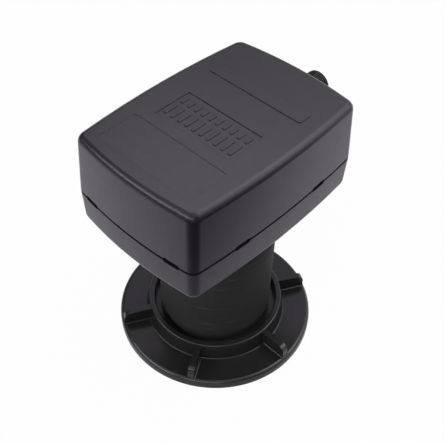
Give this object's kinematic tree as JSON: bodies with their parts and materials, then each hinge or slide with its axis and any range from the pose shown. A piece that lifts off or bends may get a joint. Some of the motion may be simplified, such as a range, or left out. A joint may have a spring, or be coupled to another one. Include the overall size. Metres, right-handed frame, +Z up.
{
  "type": "sonar transducer",
  "caption": "Sealed electronics box on a round stem, seated in a ribbed base ring, with a sound window below and a threaded network connector at the back.",
  "frame": {"origin": "on the stem axis, at the underside of the base ring", "axes": "+Z up along the stem, +Y towards the network connector, +X across the box"},
  "size_m": [0.09, 0.1096, 0.1174],
  "materials": {
    "cover_plastic": "fine moulded grain, charcoal",
    "tray_plastic": "fine moulded grain, charcoal",
    "stem_plastic": "smooth black",
    "base_plastic": "satin black",
    "window_resin": "smooth cast resin",
    "seal_rubber": "plain black",
    "connector_plastic": "threaded, black",
    "insert_plastic": "plain black",
    "contact_brass": "plated",
    "screw_steel": "plain stainless",
    "piezo_ceramic": "fired, silvered faces",
    "cork": "ground cork",
    "potting_resin": "cast resin",
    "lead_insulation": "red insulation",
    "wire_insulation": "grey insulation",
    "board_laminate": "green solder mask",
    "chip_plastic": "moulded package",
    "ferrite": "ground ferrite",
    "copper_winding": "enamelled copper wire",
    "capacitor_sleeve": "blue sleeve",
    "terminal_plastic": "plain"
  },
  "bodies": {
    "root": {"top_cover": "cover_plastic", "lower_tray": "tray_plastic", "stem_socket": "tray_plastic", "stem_body": "stem_plastic", "stem_lock_nut": "stem_plastic", "base_ring": "base_plastic", "acoustic_window": "window_resin", "stem_oring": "seal_rubber", "stem_gasket": "seal_rubber", "cover_gasket": "seal_rubber", "connector_seal": "seal_rubber", "connector_shell": "connector_plastic", "connector_insert": "insert_plastic", "connector_pins": "contact_brass", "connector_nut": "contact_brass", "cover_screws": "screw_steel", "board_screws": "screw_steel", "ceramic_disc": "piezo_ceramic", "isolation_sleeve": "cork", "backing_disc": "cork", "potting_plug": "potting_resin", "element_leads": "lead_insulation", "network_leads": "wire_insulation", "circuit_board": "board_laminate", "processor_chip": "chip_plastic", "power_inductor": "chip_plastic", "transformer_core": "ferrite", "transformer_winding": "copper_winding", "storage_capacitors": "capacitor_sleeve", "network_terminal": "terminal_plastic", "lead_terminal": "terminal_plastic"}
  },
  "joints": []
}
